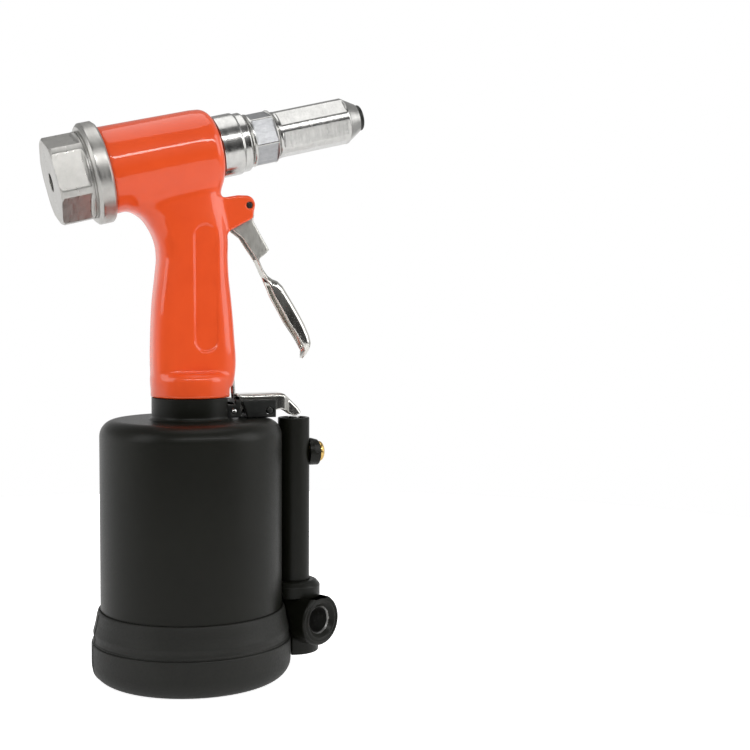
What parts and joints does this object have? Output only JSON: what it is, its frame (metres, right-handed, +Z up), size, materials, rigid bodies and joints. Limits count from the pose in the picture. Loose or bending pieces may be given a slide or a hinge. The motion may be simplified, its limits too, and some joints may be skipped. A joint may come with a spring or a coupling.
{
  "type": "pneumatic rivet gun",
  "caption": "Hand-held air-hydraulic tool that sets blind rivets: air cylinder foot with rubber boot, pistol grip, long trigger and tilted pulling head.",
  "frame": {"origin": "centre of the rubber boot's bottom face, on the air cylinder's axis", "axes": "+X towards the nose, +Y to the tool's left, +Z up along the air cylinder's axis"},
  "size_m": [0.1592, 0.0968, 0.2847],
  "materials": {
    "orange_paint": "glossy orange powder coat",
    "black_paint": "satin black paint",
    "boot_rubber": "matt black moulded rubber",
    "chrome_plate": "bright plated steel",
    "milled_steel": "milled, satin plated steel",
    "black_oxide": "black oxide steel",
    "steel": "bright turned steel",
    "aluminium": "turned aluminium",
    "brass": "satin brass",
    "copper": "copper sealing washer",
    "seal_rubber": "nitrile seal"
  },
  "bodies": {
    "frame": {"air_cylinder": "black_paint", "rubber_boot": "boot_rubber", "base_closure": "aluminium", "base_o_ring": "seal_rubber", "bottom_bumper": "seal_rubber", "packing_gland": "steel", "plunger_seal": "seal_rubber", "handle_casting": "orange_paint", "oil_fill_screw": "steel", "oil_fill_washer": "copper", "trigger_pivot_pin": "black_oxide", "rocker_bracket": "black_oxide", "rocker_pivot_pin": "black_oxide", "valve_tube": "black_paint", "valve_flange": "black_paint", "inlet_block": "black_paint", "inlet_filter": "steel", "exhaust_boss": "black_paint", "exhaust_silencer": "brass", "valve_guide_bush": "brass", "valve_seat": "brass", "valve_spring": "steel", "hex_end_cap": "chrome_plate", "end_cap_o_ring": "seal_rubber", "nose_sleeve": "chrome_plate", "rod_seal": "seal_rubber", "nose_lock_nut": "milled_steel", "nose_casing": "milled_steel", "nosepiece": "black_oxide", "return_spring": "steel"},
    "trigger": {"trigger_lever": "chrome_plate", "trigger_link_pin": "steel"},
    "pull_rod": {"pull_rod": "steel", "rod_clevis": "black_oxide", "clevis_pin": "chrome_plate"},
    "rocker": {"rocker_lever": "chrome_plate"},
    "valve": {"valve_stem": "steel", "valve_o_ring_low": "seal_rubber", "valve_o_ring_high": "seal_rubber"},
    "intensifier": {"air_piston": "aluminium", "air_piston_seal": "seal_rubber", "plunger_rod": "chrome_plate", "plunger_washer": "steel", "plunger_nut": "steel"},
    "puller": {"pull_piston": "steel", "pull_piston_seal": "seal_rubber", "mandrel_tube": "chrome_plate", "jaw_case": "steel", "pusher_spring": "steel"},
    "pusher": {"jaw_pusher": "steel"},
    "jaw_1": {"jaw_1": "steel"},
    "jaw_2": {"jaw_2": "steel"},
    "jaw_3": {"jaw_3": "steel"}
  },
  "joints": [
    {"name": "trigger_squeeze", "type": "hinge", "parent": "frame", "child": "trigger", "pos_m": [0.0272, 0, 0.2299], "axis": [0, 1, 0], "range_deg": [0, 19], "stiffness_Nm_per_rad": 0.25, "springref_deg": -14.32},
    {"name": "pull_rod_lift", "type": "slide", "parent": "frame", "child": "pull_rod", "axis": [-0.0644, 0, 0.9979], "range_m": [0, 0.0042]},
    {"name": "rocker_turn", "type": "hinge", "parent": "frame", "child": "rocker", "pos_m": [0.0373, 0, 0.1299], "axis": [0, 1, 0], "range_deg": [0, 13]},
    {"name": "valve_stem_press", "type": "slide", "parent": "frame", "child": "valve", "axis": [0, 0, -1], "range_m": [0, 0.0032], "deforming": ["valve_spring"]},
    {"name": "air_piston_rise", "type": "slide", "parent": "frame", "child": "intensifier", "axis": [0, 0, 1], "range_m": [0, 0.062], "stiffness_N_per_m": 120, "springref_m": -0.05},
    {"name": "pull_piston_stroke", "type": "slide", "parent": "frame", "child": "puller", "axis": [-0.9713, 0, -0.2377], "range_m": [0, 0.0181], "deforming": ["return_spring"]},
    {"name": "jaw_pusher_slide", "type": "slide", "parent": "puller", "child": "pusher", "axis": [0.9713, 0, 0.2377], "range_m": [0, 0.0026], "deforming": ["pusher_spring"]},
    {"name": "jaw_1_grip", "type": "slide", "parent": "puller", "child": "jaw_1", "axis": [0.909, 0, 0.4168], "range_m": [0, 0.0026]},
    {"name": "jaw_2_grip", "type": "slide", "parent": "puller", "child": "jaw_2", "axis": [0.9763, -0.1635, 0.1417], "range_m": [0, 0.0026]},
    {"name": "jaw_3_grip", "type": "slide", "parent": "puller", "child": "jaw_3", "axis": [0.9763, 0.1635, 0.1417], "range_m": [0, 0.0026]}
  ],
  "couplings": [
    {"joint": "pull_rod_lift", "follows": "trigger_squeeze", "m_per_rad": 0.012123},
    {"joint": "rocker_turn", "follows": "trigger_squeeze", "ratio": 0.65789},
    {"joint": "valve_stem_press", "follows": "trigger_squeeze", "m_per_rad": 0.009348},
    {"joint": "pull_piston_stroke", "follows": "air_piston_rise", "ratio": 0.29032},
    {"joint": "jaw_pusher_slide", "follows": "air_piston_rise", "ratio": 0.040323},
    {"joint": "jaw_1_grip", "follows": "air_piston_rise", "ratio": 0.040323},
    {"joint": "jaw_2_grip", "follows": "air_piston_rise", "ratio": 0.040323},
    {"joint": "jaw_3_grip", "follows": "air_piston_rise", "ratio": 0.040323}
  ]
}
